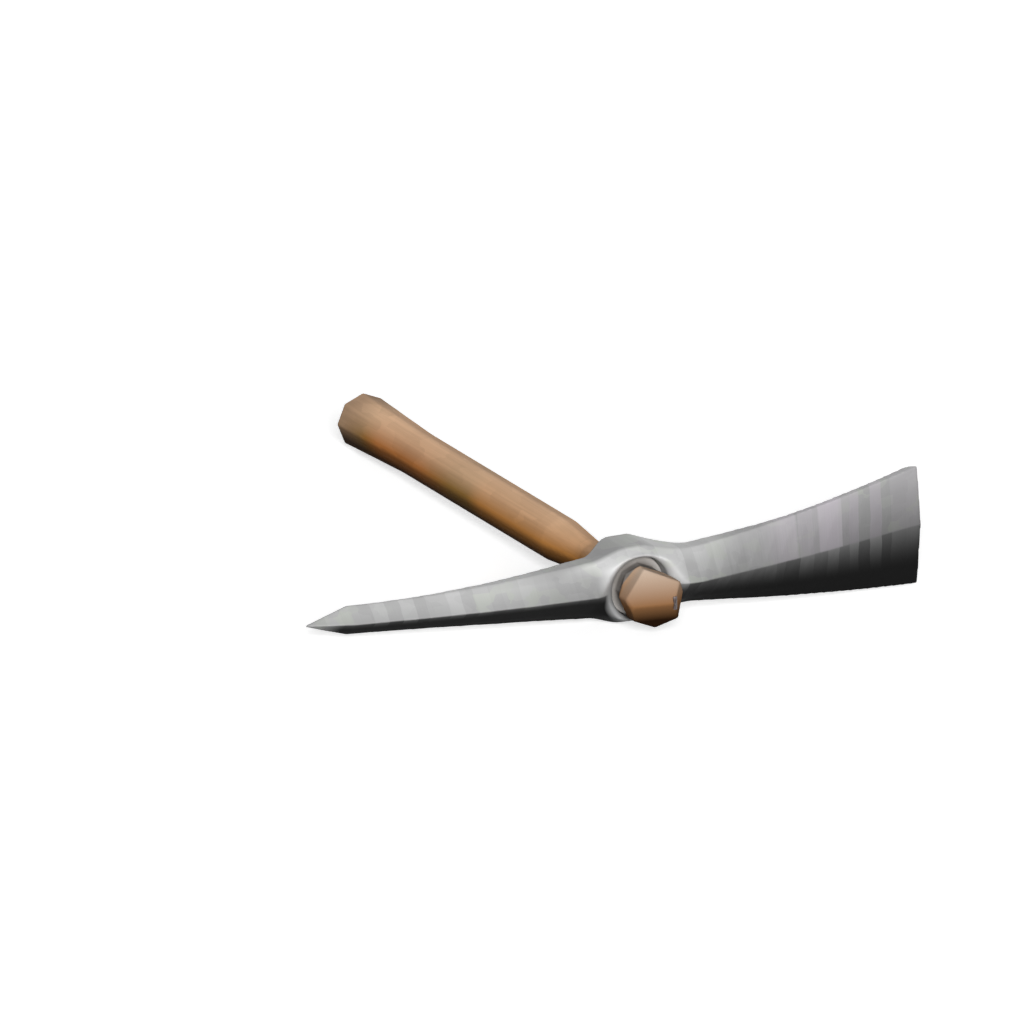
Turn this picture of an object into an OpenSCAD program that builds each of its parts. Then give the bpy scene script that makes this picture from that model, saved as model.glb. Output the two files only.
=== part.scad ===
// Short-handled pick mattock with a drop-over head.
// The forged head has a pick on one side of its eye and an adze blade on the other.
// The handle goes into the eye from the front, and its swelled end jams in the taper.
// Axes: X runs along the head towards the blade, Y along the handle towards the grip, Z is up.

/* [Pick] */
// Distance from the eye's axis to the tip of the pick
pick_reach = 255; // [200:1:320]
// Length of the pointed end, from its shoulder to the tip
point_len = 32; // [20:1:50]
// Height of the pick at the shoulder of its point
pick_end_h = 22; // [14:1:32]
// Height of the pick where it leaves the eye
pick_root_h = 45; // [36:1:54]
// How far the front ridge of the pick stands out at the shoulder
pick_end_ridge = 13; // [6:0.5:18]
// How far the pick bends back at its shoulder
pick_drop = 14.5; // [0:0.5:30]
// Width of the blunt flat left on the very tip
tip_flat = 2.2; // [1:0.1:5]

/* [Blade] */
// Distance from the eye's axis to the middle of the blade's edge
blade_reach = 247; // [190:1:320]
// Width of the blade at its edge
blade_w = 89; // [70:1:130]
// Height of the blade arm where it leaves the eye
blade_root_h = 44; // [36:1:54]
// Thickness of the blade at its end, before the edge is ground
blade_t = 8; // [5:0.5:14]
// Thickness of the blade's side where it is slimmest
blade_slim_t = 2.5; // [2:0.1:6]
// How far the blade bends back at its edge
blade_drop = 23; // [0:0.5:40]
// Length of the ground bevel on the handle side
edge_bevel = 7; // [3:0.5:14]
// Thickness left at the cutting edge
edge_t = 2; // [0.8:0.1:4]
// How far the middle of the edge stands ahead of its corners
edge_crown = 2.8; // [0:0.1:8]

/* [Eye] */
// Depth of the eye boss behind the middle of the head
boss_back = 18.7; // [14:0.1:30]
// Steel left round the eye at its narrow end
eye_wall = 8.3; // [6:0.1:14]
// Half angle of the tapered eye, in degrees
eye_taper = 2.5; // [1.5:0.1:5]
// Depth at which the wide mouth begins, ahead of the middle of the head
mouth_start = 19; // [12:0.5:24]
// Half angle of the wide mouth, in degrees
mouth_angle = 58; // [35:1:65]
// How far the front ridge stands out beside the eye
ridge_root = 24; // [16:0.5:30]
// How far the back of the arms stands out beside the eye
back_ridge = 8; // [2:0.5:12]
// Length over which the boss runs out into the pick
boss_run_pick = 38; // [34:1:70]
// Length over which the boss runs out into the blade arm
boss_run_blade = 47; // [34:1:70]

/* [Handle] */
// Distance from the middle of the head to the butt of the handle
handle_back = 418; // [260:1:900]
// Grip across its corners
grip_d = 35.3; // [28:0.1:40]
// Flared butt across its corners
butt_d = 41.8; // [40.5:0.1:48]
// Length of the flare at the butt
butt_flare = 86; // [40:1:120]
// Neck behind the head, across its corners
neck_d = 26.8; // [22:0.1:34]
// Distance from the back of the boss to the neck
neck_back = 44; // [38:1:60]
// Length of the shoulder between grip and neck
neck_run = 43; // [25:1:70]
// How far the knob on the end reaches ahead of the middle of the head
dome_reach = 51; // [44:0.5:70]
// Distance from the middle of the head to the full width of the knob
dome_back = 30; // [26:0.5:36]
// Knob in front of the eye, across its corners
dome_d = 47; // [44:0.5:60]
// Neck between the swell and the knob, across its corners
throat_d = 34.5; // [28:0.5:38]
// Play of the butt where it passes the eye
pass_gap = 0.5; // [0.3:0.1:2]
// How far the front of the swelled wood lies back from the mouth
swell_set_back = 8; // [4:0.5:14]
// Gap between the swelled wood and the tapered eye
fit_gap = 0.2; // [0.1:0.05:0.4]

/* [Wedge] */
// Width of the steel wedge
wedge_w = 9.5; // [6:0.5:14]
// Thickness of the wedge at its head
wedge_t = 3.4; // [2:0.1:5]
// Thickness of the wedge at its driven end
wedge_tip_t = 1; // [0.5:0.1:2]
// Length of the wedge
wedge_len = 26; // [15:1:28]
// Distance of the wedge from the handle's axis, towards the blade
wedge_side = 12.6; // [6:0.1:13.5]
// How far the wedge stands out of the wood
wedge_proud = 0.6; // [0.2:0.1:2]

/* [Hidden] */

// The eye is as wide at its back as the butt needs to pass, and opens to the front.
eye_back_r = butt_d / 2 + pass_gap;
eye_mouth_r = eye_r(-mouth_start);
boss_half_h = eye_back_r + eye_wall;
boss_flat = 8;

// Lines of the head, measured from its middle: the front of the boss, and the flat rims along the
// top and bottom of the arms. Near the eye the top rim widens to the front, and the bottom one doesn't.
boss_low_front = -2.2;
boss_cheek_front = -25;
cheek_share = 0.74;
cheek_crown = 0.5;
arm_rim_front = -3;
rim_lead = 7;
arm_rim_t = 5.5;
pick_rim_t = 1.5;
pick_end_back = 5;
blade_end_ridge = 0.7;
tip_lift = 1.5;
tip_back = pick_drop - tip_lift;

// Shoulder of the point, corner of the blade, and the places where the arms begin to bend.
pick_shoulder = pick_reach - point_len;
blade_corner = blade_reach - edge_crown;
pick_bend = 80;
blade_bend = 90;
bend_power = 1.8;
taper_power = 1.7;
flare_power = 1.1;
fall_power = 1.8;
slim_place = 0.4;
arm_steps = 14;
boss_steps = 12;

// Neck of the handle, and the flare that carries it into the round swell inside the eye.
neck_y = boss_back + neck_back;
neck_len = 8;
flare_lead = 6;
flare_play = 1.5;
swell_inset = 1;
swell_back = boss_back - swell_inset;
swell_step = 0.8;

// Knob of the handle: two flats meet at a low ridge, one on each side trims its ends,
// and two more are hewn along its upper corners.
dome_ridge_low = 4.5;
dome_ridge_yaw = 10;
dome_upper = 29;
dome_lower = 20;
dome_peak_x = 11;
dome_right = 42;
dome_left = 52;
dome_left_x = -19;
dome_hewn_right = 67;
dome_hewn_right_depth = 7.6;
dome_hewn_left = 135;
dome_hewn_left_depth = 6;
knob_run = 12;
knob_spare = 1;
wood_sides = 8;
swell_front = swell_set_back - mouth_start;
throat_y = knob_run - dome_back;
round_fn = 96;
far = 200;

// The part stands on the lowest corner of its blade, with its box centred on the origin.
place = [(pick_reach - blade_reach) / 2, (dome_reach + wedge_proud - handle_back) / 2, low_z()];

function low_z() = max(blade_w / 2, boss_half_h, butt_d / 2);

// Part way from one value to another, a share held between 0 and 1, and a soft run between them.
function mix(a, b, u) = a + (b - a) * u;

function clamp01(u) = max(0, min(1, u));

function ease(u) = u * u * (3 - 2 * u);

// Radius of the tapered eye at a place along the handle.
function eye_r(y) = eye_back_r + (boss_back - y) * tan(eye_taper);

// Share of an arm that is left: 1 where it leaves the eye, 0 at its end.
function pick_left(x) =
    pow(1 - clamp01((-x - boss_run_pick) / (pick_shoulder - boss_run_pick)), taper_power);

function blade_gone(x) = clamp01((x - boss_run_blade) / (blade_corner - boss_run_blade));

function blade_left(x) = pow(1 - blade_gone(x), taper_power);

// Share of the boss at a place along the head: 1 at the eye, 0 where it has run out.
function boss_left(x) =
    let (run = x < 0 ? boss_run_pick : boss_run_blade)
    1 - clamp01((abs(x) - boss_flat) / (run - boss_flat));

function boss_share(x) = ease(boss_left(x));

// How far an arm has bent back.
function bend(x) =
    x < 0
    ? pick_drop * pow(clamp01((-x - pick_bend) / (pick_shoulder - pick_bend)), bend_power)
    : blade_drop * pow(clamp01((x - blade_bend) / (blade_corner - blade_bend)), bend_power);

function arm_half_h(x) =
    x < 0
    ? mix(pick_end_h, pick_root_h, pick_left(x)) / 2
    : mix(blade_root_h, blade_w, pow(blade_gone(x), flare_power)) / 2;

// The top of the boss falls away fast at first on the blade side, then slowly.
function boss_top_share(x) = x < 0 ? boss_share(x) : pow(boss_left(x), fall_power);

function half_h(x) = mix(arm_half_h(x), boss_half_h, boss_top_share(x));

function arm_ridge(x) =
    x < 0
    ? mix(pick_end_ridge, ridge_root, pick_left(x))
    : mix(blade_end_ridge, ridge_root, blade_left(x));

function blade_rim_t(x) =
    let (v = blade_gone(x))
    v < slim_place
    ? mix(arm_rim_t, blade_slim_t, v / slim_place)
    : mix(blade_slim_t, blade_t, (v - slim_place) / (1 - slim_place));

function arm_rim(x) = x < 0 ? mix(pick_rim_t, arm_rim_t, pick_left(x)) : blade_rim_t(x);

function arm_back(x) =
    x < 0
    ? mix(pick_end_back, back_ridge, pick_left(x))
    : mix(0, back_ridge, blade_left(x));

function arm_left(x) = x < 0 ? pick_left(x) : blade_left(x);

function rim_front(x) = arm_rim_front - rim_lead * arm_left(x) + bend(x);

function low_rim_front(x) = mix(arm_rim_front, boss_low_front, boss_share(x)) + bend(x);

function arm_rim_back(x) = arm_rim_front + bend(x) + arm_rim(x);

function rim_back(x) = mix(arm_rim_back(x), boss_back, boss_share(x));

function ridge_front(x) = arm_rim_front + bend(x) - arm_ridge(x);

function ridge_back(x) = mix(arm_rim_back(x) + arm_back(x), boss_back, boss_share(x));

function cheek_front(x, rim_y) =
    let (arm_cheek = mix(ridge_front(x), rim_y, cheek_share) - cheek_crown)
    mix(arm_cheek, boss_cheek_front, boss_share(x));

// One eight-sided section across the head, from its front ridge round over the top.
function head_ring(x) =
    let (z = half_h(x), cheek = z * cheek_share)
    [
        [x, ridge_front(x), 0],
        [x, cheek_front(x, rim_front(x)), cheek],
        [x, rim_front(x), z],
        [x, rim_back(x), z],
        [x, ridge_back(x), 0],
        [x, rim_back(x), -z],
        [x, low_rim_front(x), -z],
        [x, cheek_front(x, low_rim_front(x)), -cheek]
    ];

function tip_ring() = [
    for (p = head_ring(-pick_shoulder))
    let (s = tip_flat / pick_end_h)
    [-pick_reach, tip_back + (p[1] - tip_back) * s, p[2] * s]
];

// The edge is ground from the handle side, and its middle stands ahead of its corners.
function edge_ring() =
    let (y = rim_front(blade_corner), z = blade_w / 2, cheek_y = cheek_front(blade_corner, y))
    let (cheek = z * cheek_share, cheek_x = mix(blade_reach, blade_corner, cheek_share))
    [
        [blade_reach, y - blade_end_ridge, 0],
        [cheek_x, cheek_y, cheek],
        [blade_corner, y, z],
        [blade_corner, y + edge_t, z],
        [blade_reach, y + edge_t - blade_end_ridge, 0],
        [blade_corner, y + edge_t, -z],
        [blade_corner, y, -z],
        [cheek_x, cheek_y, -cheek]
    ];

function steps(a, b, n) = [for (i = [0 : n - 1]) mix(a, b, i / n)];

head_stations = concat(
    steps(-pick_shoulder, -boss_run_pick, arm_steps),
    steps(-boss_run_pick, -boss_flat, boss_steps),
    steps(-boss_flat, boss_flat, 2),
    steps(boss_flat, boss_run_blade, boss_steps),
    steps(boss_run_blade, blade_corner - edge_bevel, arm_steps),
    [blade_corner - edge_bevel]
);

head_rings = concat([tip_ring()], [for (x = head_stations) head_ring(x)], [edge_ring()]);

// Solid through a row of like rings, with its two ends closed by fans.
module loft(rings) {
    n = len(rings[0]);
    last = len(rings) - 1;
    sides = [
        for (i = [0 : last - 1], j = [0 : n - 1], half = [0, 1])
        let (k = (j + 1) % n)
        half == 0
        ? [i * n + j, i * n + k, (i + 1) * n + k]
        : [i * n + j, (i + 1) * n + k, (i + 1) * n + j]
    ];
    front = [for (j = [1 : n - 2]) [0, j + 1, j]];
    back = [for (j = [1 : n - 2]) [last * n, last * n + j, last * n + j + 1]];
    polyhedron([for (r = rings) for (p = r) p], concat(sides, front, back));
}

// Cone along the handle, from one place to another further to the front.
module handle_cone(y_back, r_back, y_front, r_front) {
    translate([0, y_back, 0])
        rotate([90, 0, 0])
            cylinder(h = y_back - y_front, r1 = r_back, r2 = r_front, $fn = round_fn);
}

// The forging with its tapered eye and the wide mouth in front of it.
module head() {
    mouth_front = -far;
    eye_back = boss_back + far;
    color("silver")
        translate(place)
            difference() {
                loft(head_rings);
                handle_cone(eye_back, eye_r(eye_back), mouth_front, eye_r(mouth_front));
                handle_cone(
                    -mouth_start,
                    eye_mouth_r,
                    mouth_front,
                    eye_mouth_r - (mouth_front + mouth_start) * tan(mouth_angle)
                );
            }
}

// Places and corner radii of the octagonal wood, from the butt to the front of the knob.
grip_places = [
    [handle_back, butt_d / 2],
    [handle_back - butt_flare, grip_d / 2],
    [neck_y + neck_run, grip_d / 2],
    [neck_y, neck_d / 2],
    [neck_y - neck_len, neck_d / 2],
    [boss_back + flare_lead, eye_back_r - flare_play],
    [swell_back - swell_inset, eye_back_r - swell_step],
    [swell_front, throat_d / 2],
    [throat_y, throat_d / 2],
    [-dome_back, dome_d / 2],
    [-dome_reach - knob_spare, dome_d / 2]
];

function grip_ring(y, r) = [
    for (i = [0 : wood_sides - 1])
    let (turn = 360 * i / wood_sides)
    [r * sin(turn), y, r * cos(turn)]
];

// Everything in front of one flat of the knob, for cutting away.
module dome_flat(pitch, yaw, x, y, proud) {
    translate([x, y - proud, -dome_ridge_low])
        rotate([pitch, 0, yaw])
            translate([-far / 2, -far, -far / 2])
                cube(far);
}

// Everything outside one flat hewn along the knob, at an angle about the handle.
module dome_hewn(turn, depth) {
    rotate([0, -turn, 0])
        translate([dome_d / 2 - depth, throat_y - far, -far / 2])
            cube(far);
}

module dome_flats(proud) {
    left_y = (dome_peak_x - dome_left_x) * tan(dome_ridge_yaw) - dome_reach;
    dome_flat(-dome_upper, -dome_ridge_yaw, dome_peak_x, -dome_reach, proud);
    dome_flat(dome_lower, -dome_ridge_yaw, dome_peak_x, -dome_reach, proud);
    dome_flat(0, dome_right, dome_peak_x, -dome_reach, proud);
    dome_flat(0, -dome_left, dome_left_x, left_y, proud);
    dome_hewn(dome_hewn_right, dome_hewn_right_depth);
    dome_hewn(dome_hewn_left, dome_hewn_left_depth);
}

// The wedge as driven: full width, thinning towards its driven end.
module wedge_body(front) {
    translate([wedge_side, 0, -dome_ridge_low - wedge_w / 2])
        linear_extrude(wedge_w)
            polygon([
                [-wedge_t / 2, -front],
                [wedge_t / 2, -front],
                [wedge_tip_t / 2, wedge_len - dome_reach],
                [-wedge_tip_t / 2, wedge_len - dome_reach]
            ]);
}

// Octagonal hardwood handle: grip, neck, round swell in the eye, and the faceted knob in front.
module handle() {
    color("peru")
        translate(place)
            difference() {
                union() {
                    loft([for (g = grip_places) grip_ring(g[0], g[1])]);
                    handle_cone(
                        swell_back,
                        eye_r(swell_back) - fit_gap,
                        swell_front,
                        eye_r(swell_front) - fit_gap
                    );
                }
                dome_flats(0);
                wedge_body(dome_reach + wedge_proud);
            }
}

// Small steel wedge driven into the end grain and dressed off along the wood.
module steel_wedge() {
    color("dimgray")
        translate(place)
            difference() {
                wedge_body(dome_reach + wedge_proud);
                dome_flats(wedge_proud);
            }
}

head();
handle();
steel_wedge();
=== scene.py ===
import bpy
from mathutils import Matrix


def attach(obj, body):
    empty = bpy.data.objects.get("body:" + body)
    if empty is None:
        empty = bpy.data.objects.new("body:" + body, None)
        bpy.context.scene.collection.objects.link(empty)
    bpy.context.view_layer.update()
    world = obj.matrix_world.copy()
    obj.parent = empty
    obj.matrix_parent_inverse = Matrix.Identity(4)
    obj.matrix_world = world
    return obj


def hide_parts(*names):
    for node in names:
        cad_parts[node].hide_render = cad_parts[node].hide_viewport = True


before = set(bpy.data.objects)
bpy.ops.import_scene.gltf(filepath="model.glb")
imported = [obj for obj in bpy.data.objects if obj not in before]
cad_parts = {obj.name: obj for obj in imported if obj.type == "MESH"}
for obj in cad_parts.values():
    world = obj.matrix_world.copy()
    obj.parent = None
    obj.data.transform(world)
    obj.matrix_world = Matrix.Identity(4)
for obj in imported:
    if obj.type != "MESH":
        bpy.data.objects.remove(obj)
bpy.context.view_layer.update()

import math

import bpy
from mathutils import Vector


# The head: one steel forging with a pick, an eye and an adze blade, hammered to shape and then
# ground across its arms. Only the taper of its eye holds it on the handle.
merge_gap = 0.00001
head_voxel = 0.00095
voxel_smoothing = 2
eye_at = Vector((0.004, -0.1832, 0.0445))
mouth_depth = 0.006
mouth_edge = 0.033
mouth_round = 0.012
mouth_wear = 40
hammer_dent = 0.0004
hammer_mark = 0.022


def copy_of(node, name):
    """A copy of a CAD node's mesh as a piece of its own, with its loose triangles merged."""
    bpy.ops.object.select_all(action="DESELECT")
    piece = bpy.data.objects.new(name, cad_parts[node].data.copy())
    piece.data.name = name
    piece.data.materials.clear()
    bpy.context.scene.collection.objects.link(piece)
    piece.select_set(True)
    bpy.context.view_layer.objects.active = piece
    bpy.ops.object.mode_set(mode="EDIT")
    bpy.ops.mesh.select_all(action="SELECT")
    bpy.ops.mesh.remove_doubles(threshold=merge_gap)
    bpy.ops.object.mode_set(mode="OBJECT")
    return piece


def shape(piece, kind, **settings):
    """Adds one modifier to a piece and applies it."""
    made = piece.modifiers.new(kind.lower(), kind)
    for name, value in settings.items():
        setattr(made, name, value)
    bpy.context.view_layer.objects.active = piece
    bpy.ops.object.modifier_apply(modifier=made.name)


head = copy_of("head", "forged_head")
shape(head, "REMESH", mode="VOXEL", voxel_size=head_voxel)
shape(head, "SMOOTH", factor=0.5, iterations=voxel_smoothing)
mouth = head.vertex_groups.new(name="worn_mouth")
for vertex in head.data.vertices:
    off = vertex.co - eye_at
    from_edge = abs(math.hypot(off.x, off.z) - mouth_edge)
    if off.y < -mouth_depth and from_edge < mouth_round:
        mouth.add([vertex.index], 1 - from_edge / mouth_round, "REPLACE")
shape(head, "SMOOTH", factor=0.5, iterations=mouth_wear, vertex_group="worn_mouth")
hammer = bpy.data.textures.new("hammer_marks", "CLOUDS")
hammer.noise_scale = hammer_mark
hammer.noise_depth = 1
shape(head, "DISPLACE", texture=hammer, texture_coords="LOCAL", strength=hammer_dent, mid_level=1)
bpy.ops.object.shade_smooth()


def srgb(code):
    """The linear colour of an sRGB hex value."""
    parts = [int(code[i : i + 2], 16) / 255 for i in (1, 3, 5)]
    return (*[p / 12.92 if p <= 0.04045 else ((p + 0.055) / 1.055) ** 2.4 for p in parts], 1)


def add(tree, kind, out=None, sockets=None, **settings):
    """Adds a node with its settings and links, and gives the node or one of its outputs."""
    made = tree.nodes.new("ShaderNode" + kind)
    for name, value in settings.items():
        setattr(made, name, value)
    for name, value in (sockets or {}).items():
        if isinstance(value, bpy.types.NodeSocket):
            tree.links.new(value, made.inputs[name])
        else:
            made.inputs[name].default_value = value
    return made if out is None else made.outputs[out]


# Forged carbon steel: ground grey above its ridge, and near-black below it, which is painted shade
# of the lower faces, with the roughness and dull metal of forge scale. It gives the eye matt grey
# bands across the arms, with small hammered flats, each a little off the next. On the ground side
# the faces are darkened towards the ridge as painted shade, which thins out away from the ridge.
# There is less of it on the brow over the eye, which is a painted highlight, and on the middle of
# the blade, where one flat is paler. The blade past its root and the boss beside the eye are
# darkened as painted shade, the front round the mouth is lightened as a painted highlight, and the
# inside of the mouth is darkened as painted shade. The lines of the grinding are too fine to show,
# so they are drawn 1.6 mm apart.
band_mm = 11
flat_mm = (13, 12, 8)
blotch_mm = 45
grinding_mm = (1.6, 40, 40)
band_wander = 0.008
flat_share = 0.35
brow_shade_cut = 0.35
blade_shade_cut = 0.18
streak_fade = 2.0
ridge_z = 0.0445
arm_rim = 0.012
blade_rim = 0.04
blade_root = {"From Min": 0.03, "From Max": 0.09}
pale_start = 0.1
pale_end = 0.2
pale_flats = [
    (0.11, 0),
    (0.125, 0.6),
    (0.136, 0.6),
    (0.138, 0),
    (0.1562, 0),
    (0.1568, 0.7),
    (0.1772, 0.5),
    (0.1778, 0),
]
steel = bpy.data.materials.new("forged_carbon_steel")
steel.use_nodes = True
tree = steel.node_tree
surface = tree.nodes["Principled BSDF"]
place = add(tree, "TexCoord", "Object")
spot = add(tree, "SeparateXYZ", sockets={"Vector": place})
along = spot.outputs["X"]
above = add(tree, "Math", 0, {0: spot.outputs["Z"], 1: ridge_z}, operation="SUBTRACT")
below = add(tree, "Math", 0, {0: ridge_z, 1: spot.outputs["Z"]}, operation="SUBTRACT")
off_eye = add(tree, "VectorMath", "Vector", {0: place, 1: eye_at}, operation="SUBTRACT")
across_eye = add(tree, "VectorMath", "Vector", {0: off_eye, 1: (1, 0, 1)}, operation="MULTIPLY")
eye_r = add(tree, "VectorMath", "Value", {0: across_eye}, operation="LENGTH")

blotch = add(tree, "TexNoise", "Fac", {"Vector": place, "Scale": 1000 / blotch_mm, "Detail": 3.0})
wander = add(tree, "Math", 0, {0: blotch, 1: band_wander, 2: along}, operation="MULTIPLY_ADD")
bands_at = {"W": wander, "Scale": 1000 / band_mm}
bands = add(tree, "TexVoronoi", "Color", bands_at, voronoi_dimensions="1D")
band = add(tree, "SeparateColor", "Red", {"Color": bands})
flat_scale = [1000 / mm for mm in flat_mm]
flats_at = add(tree, "Mapping", "Vector", {"Vector": place, "Scale": flat_scale})
flats = add(tree, "TexVoronoi", "Color", {"Vector": flats_at, "Scale": 1.0}, distance="CHEBYCHEV")
flat = add(tree, "SeparateColor", "Green", {"Color": flats})

tone = add(tree, "Mix", 0, {0: flat_share, 2: band, 3: flat})
light_tone = add(tree, "MapRange", 0, {"Value": tone, "From Min": 0.1, "From Max": 0.9})
ground_tones = {0: light_tone, 6: srgb("#d5d5d5"), 7: srgb("#ebebeb")}
grey = add(tree, "Mix", 2, ground_tones, data_type="RGBA")
green_flats = {"Value": flat, "From Min": 0.75, "From Max": 0.95, "To Max": 0.45}
greenish = add(tree, "MapRange", 0, green_flats)
greened = add(tree, "Mix", 2, {0: greenish, 6: grey, 7: srgb("#e0e6d9")}, data_type="RGBA")
violet_end = {"Value": along, "From Min": 0.08, "From Max": 0.16, "To Max": 0.55}
blade_end = add(tree, "MapRange", 0, violet_end)
violet_bands = add(tree, "Math", 0, {0: blade_end, 1: band}, operation="MULTIPLY")
violet = add(tree, "Mix", 2, {0: violet_bands, 6: greened, 7: srgb("#e8deea")}, data_type="RGBA")
pale_range = {"From Min": pale_start, "From Max": pale_end}
down_blade = add(tree, "MapRange", 0, {"Value": along, **pale_range})
pale = add(tree, "ValToRGB", sockets={"Fac": down_blade})
pale.color_ramp.elements[0].color = (0, 0, 0, 1)
pale.color_ramp.elements[1].color = (0, 0, 0, 1)
for at, share in pale_flats:
    stop = pale.color_ramp.elements.new((at - pale_start) / (pale_end - pale_start))
    stop.color = (share, share, share, 1)
pale_share = pale.outputs["Color"]
paler = add(tree, "Mix", 2, {0: pale_share, 6: violet, 7: srgb("#fbf4fc")}, data_type="RGBA")

# Painted shade: the blade past its root is darkened, as it faces away from the lamp.
on_blade = add(tree, "MapRange", 0, {"Value": along, **blade_root})
blade_shade_tones = {0: on_blade, 6: paler, 7: srgb("#c1c1c1")}
blade_shaded = add(tree, "Mix", 2, blade_shade_tones, data_type="RGBA", blend_type="MULTIPLY")
# Painted shade: the boss beside the eye, on the pick's side, is darkened, but not on the brow.
pick_root = add(tree, "MapRange", 0, {"Value": along, "From Min": -0.11, "From Max": -0.06})
pick_side = add(tree, "MapRange", 0, {"Value": along, "From Min": 0.02, "From Max": 0.0})
boss_shade_area = add(tree, "Math", 0, {0: pick_root, 1: pick_side}, operation="MULTIPLY")
# The brow over the eye is a painted highlight: it is left out of the painted shade beside the eye,
# and the painted shade towards the ridge is lighter there.
brow_up = add(tree, "MapRange", 0, {"Value": above, "From Min": 0.012, "From Max": 0.02})
brow_left = add(tree, "MapRange", 0, {"Value": along, "From Min": -0.06, "From Max": -0.035})
brow_right = add(tree, "MapRange", 0, {"Value": along, "From Min": 0.06, "From Max": 0.03})
brow_width = add(tree, "Math", 0, {0: brow_left, 1: brow_right}, operation="MULTIPLY")
brow_edge = {"Value": spot.outputs["Y"], "From Min": -0.192, "From Max": -0.1955}
brow_front = add(tree, "MapRange", 0, brow_edge)
brow_face = add(tree, "Math", 0, {0: brow_up, 1: brow_front}, operation="MULTIPLY")
brow = add(tree, "Math", 0, {0: brow_face, 1: brow_width}, operation="MULTIPLY")
off_brow = add(tree, "Math", 0, {0: 1.0, 1: brow}, operation="SUBTRACT")
boss_shade_mask = add(tree, "Math", 0, {0: boss_shade_area, 1: off_brow}, operation="MULTIPLY")
boss_shade_tones = {0: boss_shade_mask, 6: blade_shaded, 7: srgb("#e0e0e0")}
boss_shaded = add(tree, "Mix", 2, boss_shade_tones, data_type="RGBA", blend_type="MULTIPLY")
# Painted shade: above the ridge the ground faces are darkened towards the ridge, up to the rim,
# less on the brow and on the middle of the blade.
rim_height = {"To Min": arm_rim, "To Max": blade_rim}
rim = add(tree, "MapRange", 0, {"Value": along, **blade_root, **rim_height})
up_to_rim = add(tree, "Math", 0, {0: above, 1: rim}, operation="MINIMUM")
off_ridge = add(tree, "MapRange", 0, {"Value": up_to_rim, "From Min": 0.0, "From Max": blade_rim})
ridge_shade_ramp = add(tree, "ValToRGB", sockets={"Fac": off_ridge})
ridge_shade_ramp.color_ramp.elements[0].color = srgb("#b0b0b0")
ridge_shade_ramp.color_ramp.elements[1].color = srgb("#ffffff")
ridge_shade_ramp.color_ramp.elements.new(arm_rim / blade_rim).color = srgb("#cacaca")
mid_from = add(tree, "MapRange", 0, {"Value": along, "From Min": 0.075, "From Max": 0.1})
mid_to = add(tree, "MapRange", 0, {"Value": along, "From Min": 0.1778, "From Max": 0.1772})
mid_blade = add(tree, "Math", 0, {0: mid_from, 1: mid_to}, operation="MULTIPLY")
brow_shade_share = add(tree, "Math", 0, {0: brow, 1: -brow_shade_cut, 2: 1.0}, operation="MULTIPLY_ADD")
blade_shade_share = {0: mid_blade, 1: -blade_shade_cut, 2: brow_shade_share}
ridge_shade_share = add(tree, "Math", 0, blade_shade_share, operation="MULTIPLY_ADD")
ridge_shade_tones = {0: ridge_shade_share, 6: boss_shaded, 7: ridge_shade_ramp.outputs["Color"]}
ground = add(tree, "Mix", 2, ridge_shade_tones, data_type="RGBA", blend_type="MULTIPLY")

# Painted highlight: the front of the boss round the mouth is lightened.
at_front = {"Value": spot.outputs["Y"], "From Min": -0.196, "From Max": -0.205, "To Max": 0.32}
front = add(tree, "MapRange", 0, at_front)
round_mouth = add(tree, "MapRange", 0, {"Value": eye_r, "From Min": 0.037, "From Max": 0.03})
highlight_area = add(tree, "Math", 0, {0: front, 1: round_mouth}, operation="MULTIPLY")
front_highlight = add(tree, "Mix", 2, {0: highlight_area, 6: ground, 7: srgb("#cecece")}, data_type="RGBA")
# Painted shade: the steel inside the mouth of the eye is darkened.
mouth_shade_ring = {"Value": eye_r, "From Min": 0.0268, "From Max": 0.0235, "To Max": 0.35}
mouth_shade = add(tree, "MapRange", 0, mouth_shade_ring)
mouth_shaded = add(tree, "Mix", 2, {0: mouth_shade, 6: front_highlight, 7: srgb("#545252")}, data_type="RGBA")

# Painted shade: below the ridge the faces are near-black, with lighter streaks that fade down from
# the ridge. The same mask gives them the roughness and dull metal of forge scale.
widening = {"From Min": -0.05, "From Max": 0.24, "To Min": 0.006, "To Max": 0.03}
streak_length = add(tree, "MapRange", 0, {"Value": along, **widening})
down_streak = add(tree, "Math", 0, {0: below, 1: streak_length}, operation="DIVIDE")
streak_left = add(tree, "MapRange", 0, {"Value": down_streak, "From Min": 1.0, "From Max": 0.0})
shade_fade = add(tree, "Math", 0, {0: streak_left, 1: streak_fade}, operation="POWER")
shade_streaks = add(tree, "Mix", 2, {0: band, 6: srgb("#525252"), 7: srgb("#747474")}, data_type="RGBA")
below_ridge_shade = add(tree, "Mix", 2, {0: shade_fade, 6: srgb("#0e0e0e"), 7: shade_streaks}, data_type="RGBA")
under_ridge = add(tree, "MapRange", 0, {"Value": below, "From Min": -0.0006, "From Max": 0.0006})
outside = add(tree, "MapRange", 0, {"Value": eye_r, "From Min": 0.027, "From Max": 0.031})
off_tip = add(tree, "MapRange", 0, {"Value": along, "From Min": -0.242, "From Max": -0.226})
off_mouth = add(tree, "Math", 0, {0: under_ridge, 1: outside}, operation="MULTIPLY")
scale_and_shade_mask = add(tree, "Math", 0, {0: off_mouth, 1: off_tip}, operation="MULTIPLY")
colour = add(tree, "Mix", 2, {0: scale_and_shade_mask, 6: mouth_shaded, 7: below_ridge_shade}, data_type="RGBA")

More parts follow.
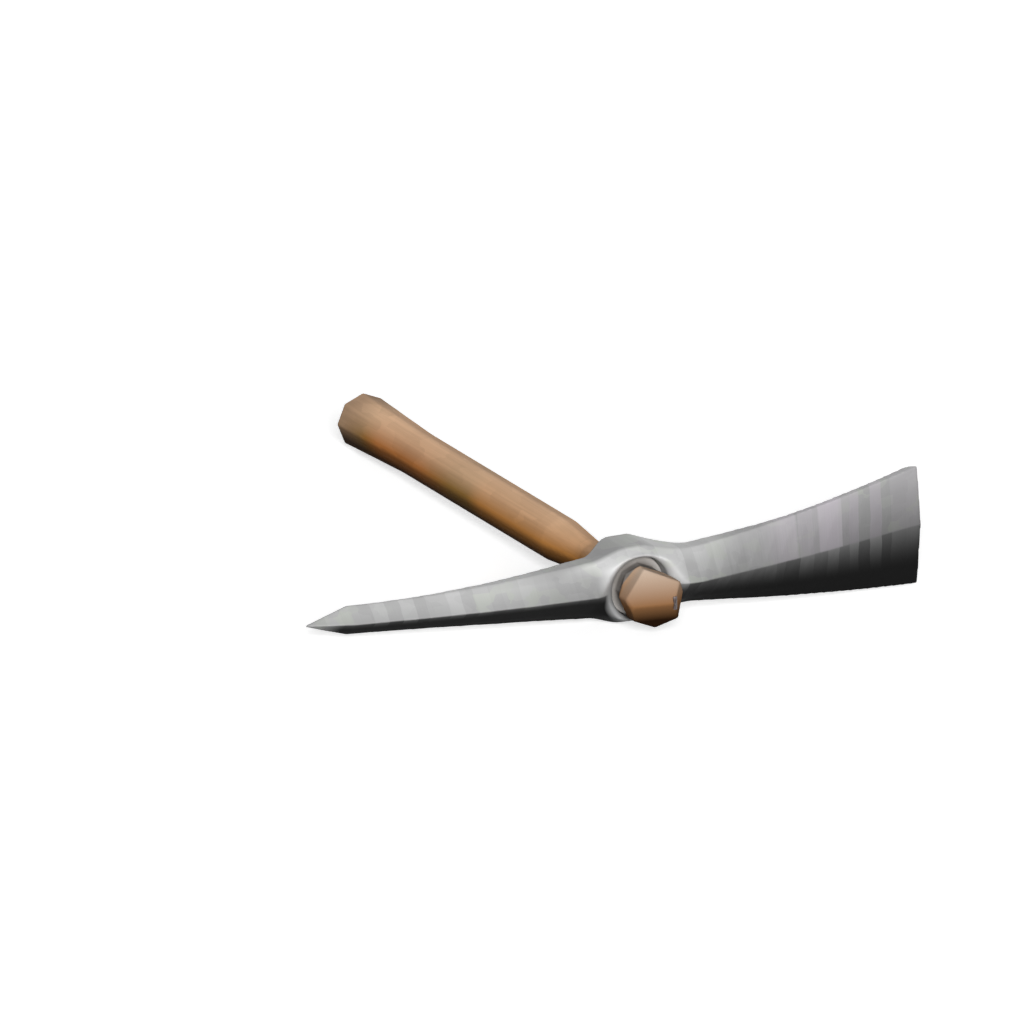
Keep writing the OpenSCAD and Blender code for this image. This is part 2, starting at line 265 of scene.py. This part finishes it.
grinding_scale = [1000 / mm for mm in grinding_mm]
grinding_at = add(tree, "Mapping", "Vector", {"Vector": place, "Scale": grinding_scale})
grinding = add(tree, "TexNoise", "Fac", {"Vector": grinding_at, "Scale": 1.0, "Detail": 4.0})
marks = add(tree, "Bump", "Normal", {"Height": grinding, "Strength": 0.25, "Distance": 0.0003})
rough = add(tree, "MapRange", 0, {"Value": scale_and_shade_mask, "To Min": 0.62, "To Max": 0.8})
bare = add(tree, "MapRange", 0, {"Value": scale_and_shade_mask, "To Min": 0.2, "To Max": 0.0})
tree.links.new(colour, surface.inputs["Base Color"])
tree.links.new(bare, surface.inputs["Metallic"])
tree.links.new(rough, surface.inputs["Roughness"])
tree.links.new(marks, surface.inputs["Normal"])
surface.inputs["Specular IOR Level"].default_value = 0.08
head.data.materials.append(steel)
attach(head, "head")
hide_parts("head")


# The handle: one length of ash, eight-sided, with a flared butt, a thin neck and a swelled end.
# It is shaved by hand, goes into the eye from the front, and jams there; its knob stays outside.
handle_voxel = 0.0009
knob_back = -0.165
grip_front = -0.09
butt_front = 0.19
butt_y = 0.2348
arris_wear = 24
handle = copy_of("handle", "ash_handle")
shape(handle, "REMESH", mode="VOXEL", voxel_size=handle_voxel)
shape(handle, "SMOOTH", factor=0.5, iterations=voxel_smoothing)
worn = handle.vertex_groups.new(name="worn_grip")
for vertex in handle.data.vertices:
    into_grip = min(1, max(0, (vertex.co.y - knob_back) / (grip_front - knob_back)))
    off_butt = min(1, max(0, (butt_y - vertex.co.y) / (butt_y - butt_front)))
    worn.add([vertex.index], into_grip * off_butt, "REPLACE")
shape(handle, "SMOOTH", factor=0.5, iterations=arris_wear, vertex_group="worn_grip")
bpy.ops.object.shade_smooth()

# Ash, shaved and oiled: it gives the eye long soft streaks and shaved patches, warm brown with
# redder and greener stretches. Its top is painted lighter as painted light, and its underside is
# painted near-black as painted shade. The butt is greyed where it is set down, the knob shows pale
# end grain that is darkened towards its bottom as painted shade, and iron has stained the throat
# behind it grey, darker towards the knob as painted shade in the gap. The grain and the pores are
# too fine to show, so they are drawn 2.2 and 0.9 mm wide.
grain_mm = (2.2, 120, 2.2)
pore_mm = (0.9, 16, 0.9)
patch_mm = (12, 24, 12)
patch_share = 0.5
neck_y = -0.16
brown_wood = srgb("#b87e42")
red_wood = srgb("#b0713d")
olive_wood = srgb("#8e6b38")
stretches = [
    (-0.12, brown_wood),
    (0.02, brown_wood),
    (0.04, olive_wood),
    (0.066, olive_wood),
    (0.112, red_wood),
    (0.178, red_wood),
    (0.203, olive_wood),
]
ash = bpy.data.materials.new("oiled_ash")
ash.use_nodes = True
tree = ash.node_tree
surface = tree.nodes["Principled BSDF"]
place = add(tree, "TexCoord", "Object")
spot = add(tree, "SeparateXYZ", sockets={"Vector": place})
along = spot.outputs["Y"]
height = spot.outputs["Z"]
off_eye = add(tree, "VectorMath", "Vector", {0: place, 1: eye_at}, operation="SUBTRACT")
across_eye = add(tree, "VectorMath", "Vector", {0: off_eye, 1: (1, 0, 1)}, operation="MULTIPLY")
eye_r = add(tree, "VectorMath", "Value", {0: across_eye}, operation="LENGTH")

down_length = add(tree, "MapRange", 0, {"Value": along, "From Min": neck_y, "From Max": butt_y})
length = add(tree, "ValToRGB", sockets={"Fac": down_length})
length.color_ramp.elements[0].color = brown_wood
length.color_ramp.elements[1].color = olive_wood
for at, tint in stretches:
    length.color_ramp.elements.new((at - neck_y) / (butt_y - neck_y)).color = tint
wood = length.outputs["Color"]
# Painted light: the top of the handle is lighter.
lit_top_range = {"Value": height, "From Min": 0.0465, "From Max": 0.062, "To Max": 0.92}
lit_top = add(tree, "MapRange", 0, lit_top_range)
top_lit = add(tree, "Mix", 2, {0: lit_top, 6: wood, 7: srgb("#ecc4a0")}, data_type="RGBA")
worn_butt = {"Value": along, "From Min": 0.195, "From Max": 0.228, "To Max": 0.85}
butt_wear = add(tree, "MapRange", 0, worn_butt)
greyed = add(tree, "Mix", 2, {0: butt_wear, 6: top_lit, 7: srgb("#ab8d73")}, data_type="RGBA")

grain_scale = [1000 / mm for mm in grain_mm]
grain_at = add(tree, "Mapping", "Vector", {"Vector": place, "Scale": grain_scale})
grain = add(tree, "TexNoise", "Fac", {"Vector": grain_at, "Scale": 1.0, "Detail": 5.0})
streak = add(tree, "MapRange", 0, {"Value": grain, "From Min": 0.3, "From Max": 0.7})
patch_scale = [1000 / mm for mm in patch_mm]
patches_at = add(tree, "Mapping", "Vector", {"Vector": place, "Scale": patch_scale})
shaved = {"Vector": patches_at, "Scale": 1.0}
patches = add(tree, "TexVoronoi", "Color", shaved, distance="CHEBYCHEV")
patch = add(tree, "SeparateColor", "Red", {"Color": patches})
mottle = add(tree, "Mix", 0, {0: patch_share, 2: streak, 3: patch})
shading = add(tree, "Mix", 2, {0: mottle, 6: srgb("#e6e6e6"), 7: srgb("#ffffff")}, data_type="RGBA")
shaded = {0: 1.0, 6: greyed, 7: shading}
streaked = add(tree, "Mix", 2, shaded, data_type="RGBA", blend_type="MULTIPLY")

on_knob = add(tree, "MapRange", 0, {"Value": along, "From Min": -0.2, "From Max": -0.215})
# The knob's pale end grain is darkened towards its bottom as painted shade.
knob_shade_up = add(tree, "MapRange", 0, {"Value": height, "From Min": 0.04, "From Max": 0.064})
grain_and_shade_tones = {0: knob_shade_up, 6: srgb("#845e3d"), 7: srgb("#b9a593")}
shaded_end_grain = add(tree, "Mix", 2, grain_and_shade_tones, data_type="RGBA")
capped = add(tree, "Mix", 2, {0: on_knob, 6: streaked, 7: shaded_end_grain}, data_type="RGBA")
# Painted shade: the underside of the grip and of the knob is near-black.
grip_shade_range = {"Value": height, "From Min": 0.0465, "From Max": 0.0345, "To Max": 0.95}
grip_under_shade = add(tree, "MapRange", 0, grip_shade_range)
knob_shade_range = {"Value": height, "From Min": 0.041, "From Max": 0.0275, "To Max": 0.98}
knob_under_shade = add(tree, "MapRange", 0, knob_shade_range)
under_shade = add(tree, "Mix", 0, {0: on_knob, 2: grip_under_shade, 3: knob_under_shade})
under_shaded = add(tree, "Mix", 2, {0: under_shade, 6: capped, 7: srgb("#1a0d05")}, data_type="RGBA")

throat_front = add(tree, "MapRange", 0, {"Value": along, "From Min": -0.208, "From Max": -0.2065})
throat_back = add(tree, "MapRange", 0, {"Value": along, "From Min": -0.1885, "From Max": -0.1935})
throat = add(tree, "Math", 0, {0: throat_front, 1: throat_back}, operation="MULTIPLY")
# The throat's grey iron stain is darkened towards the knob as painted shade in the gap.
throat_shade = add(tree, "MapRange", 0, {"Value": eye_r, "From Min": 0.0212, "From Max": 0.0152})
stain_and_shade_tones = {0: throat_shade, 6: srgb("#a6a29e"), 7: srgb("#605b57")}
shaded_stain = add(tree, "Mix", 2, stain_and_shade_tones, data_type="RGBA")
colour = add(tree, "Mix", 2, {0: throat, 6: under_shaded, 7: shaded_stain}, data_type="RGBA")
pore_scale = [1000 / mm for mm in pore_mm]
pores_at = add(tree, "Mapping", "Vector", {"Vector": place, "Scale": pore_scale})
pores = add(tree, "TexNoise", "Fac", {"Vector": pores_at, "Scale": 1.0, "Detail": 2.0})
relief = add(tree, "Bump", "Normal", {"Height": pores, "Strength": 0.3, "Distance": 0.0003})
rough = add(tree, "MapRange", 0, {"Value": streak, "To Min": 0.78, "To Max": 0.68})
tree.links.new(colour, surface.inputs["Base Color"])
tree.links.new(rough, surface.inputs["Roughness"])
tree.links.new(relief, surface.inputs["Normal"])
surface.inputs["IOR"].default_value = 1.48
surface.inputs["Specular IOR Level"].default_value = 0.02
handle.data.materials.append(ash)
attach(handle, "handle")
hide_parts("handle")


# The wedge: a small mild steel wedge, driven into the knob's end grain to spread it and then
# dressed off with a file along the wood.
wedge_edge = 0.0003
wedge_corner = math.radians(40)
wedge = copy_of("steel_wedge", "driven_wedge")
shape(wedge, "BEVEL", width=wedge_edge, segments=2, limit_method="ANGLE")
bpy.ops.object.shade_smooth_by_angle(angle=wedge_corner)

# Mild steel, filed and then darkened by handling: it gives the eye a dull brownish grey. The
# strokes of the file are too fine to show, so they are drawn 0.8 mm apart.
file_mm = (6, 6, 0.8)
dark_steel = bpy.data.materials.new("filed_mild_steel")
dark_steel.use_nodes = True
tree = dark_steel.node_tree
surface = tree.nodes["Principled BSDF"]
place = add(tree, "TexCoord", "Object")
file_scale = [1000 / mm for mm in file_mm]
file_at = add(tree, "Mapping", "Vector", {"Vector": place, "Scale": file_scale})
strokes = add(tree, "TexNoise", "Fac", {"Vector": file_at, "Scale": 1.0, "Detail": 3.0})
colour = add(tree, "Mix", 2, {0: strokes, 6: srgb("#4c4040"), 7: srgb("#746a69")}, data_type="RGBA")
relief = add(tree, "Bump", "Normal", {"Height": strokes, "Strength": 0.3, "Distance": 0.0002})
tree.links.new(colour, surface.inputs["Base Color"])
tree.links.new(relief, surface.inputs["Normal"])
surface.inputs["Metallic"].default_value = 0.4
surface.inputs["Roughness"].default_value = 0.55
wedge.data.materials.append(dark_steel)
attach(wedge, "handle")
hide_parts("steel_wedge")


# The studio: a white floor under the three places that the tool lies on, which are a corner of the
# blade, the bottom of the eye and the butt, with a soft lamp at the front left, a weak one behind
# and a dim room.
blade_corner = Vector((0.247, -0.163, 0))
eye_bottom = Vector((0.004, -0.183, 0.0148))
butt_bottom = Vector((0.004, 0.2348, 0.0236))
floor_gap = 0.0006
floor_size = 12
floor_glow = 0.6
room_light = 0.12
floor_up = (butt_bottom - blade_corner).cross(eye_bottom - blade_corner).normalized()
floor_turn = floor_up.to_track_quat("Z", "Y").to_euler()
bpy.ops.object.select_all(action="DESELECT")
floor_at = eye_bottom - floor_up * floor_gap
bpy.ops.mesh.primitive_plane_add(size=floor_size, location=floor_at, rotation=floor_turn)
floor = bpy.context.object
floor.name = "floor"
white = bpy.data.materials.new("white_floor")
white.use_nodes = True
tree = white.node_tree
tree.nodes.clear()
path = add(tree, "LightPath")
seen = path.outputs["Is Camera Ray"]
for ray in ("Is Glossy Ray", "Is Transmission Ray"):
    seen = add(tree, "Math", 0, {0: seen, 1: path.outputs[ray]}, operation="MAXIMUM")
floor_tones = {0: seen, 6: (0.08, 0.08, 0.08, 1), 7: (0.75, 0.75, 0.75, 1)}
paint = add(tree, "Mix", 2, floor_tones, data_type="RGBA")
matt = add(tree, "BsdfDiffuse", "BSDF", {"Color": paint})
glow = add(tree, "Math", 0, {0: seen, 1: floor_glow}, operation="MULTIPLY")
shine = add(tree, "Emission", "Emission", {"Strength": glow})
both = add(tree, "AddShader", "Shader", {0: matt, 1: shine})
add(tree, "OutputMaterial", sockets={"Surface": both})
floor.data.materials.append(white)

world = bpy.data.worlds.new("white_room")
bpy.context.scene.world = world
world.use_nodes = True
tree = world.node_tree
tree.nodes.clear()
path = add(tree, "LightPath")
seen = path.outputs["Is Camera Ray"]
for ray in ("Is Glossy Ray", "Is Transmission Ray"):
    seen = add(tree, "Math", 0, {0: seen, 1: path.outputs[ray]}, operation="MAXIMUM")
level = add(tree, "MapRange", 0, {"Value": seen, "To Min": room_light, "To Max": 1.0})
room = add(tree, "Background", "Background", {"Color": (1, 1, 1, 1), "Strength": level})
add(tree, "OutputWorld", sockets={"Surface": room})

middle = Vector((0, 0, 0.0445))
for name, way, spread, energy in (
    ("soft_key_lamp", Vector((-0.36, -0.84, 0.37)), 24, 4.0),
    ("back_fill_lamp", Vector((0.5, 0.83, 0.2)), 40, 0.8),
):
    aimed = way.to_track_quat("Z", "Y").to_euler()
    bpy.ops.object.light_add(type="SUN", location=middle + way, rotation=aimed)
    lamp = bpy.context.object
    lamp.name = name
    lamp.data.angle = math.radians(spread)
    lamp.data.energy = energy

# The camera: square on, with no perspective, at the angle of the photograph. Its aim is off the
# part's middle by a few of the picture's pixels.
azimuth = math.radians(-27.3)
elevation = math.radians(18.125)
pixel = 0.00072
picture_width = 1024
aim_off = Vector((4.9, -0.8, 0))
camera_away = 2
level_out = math.cos(elevation)
back = Vector((math.sin(azimuth) * level_out, -math.cos(azimuth) * level_out, math.sin(elevation)))
turn = back.to_track_quat("Z", "Y")
aim = middle + turn @ (aim_off * pixel)
bpy.ops.object.camera_add(location=aim + back * camera_away, rotation=turn.to_euler())
camera = bpy.context.object
camera.data.type = "ORTHO"
camera.data.ortho_scale = picture_width * pixel
bpy.context.scene.camera = camera
bpy.context.scene.view_settings.view_transform = "Standard"
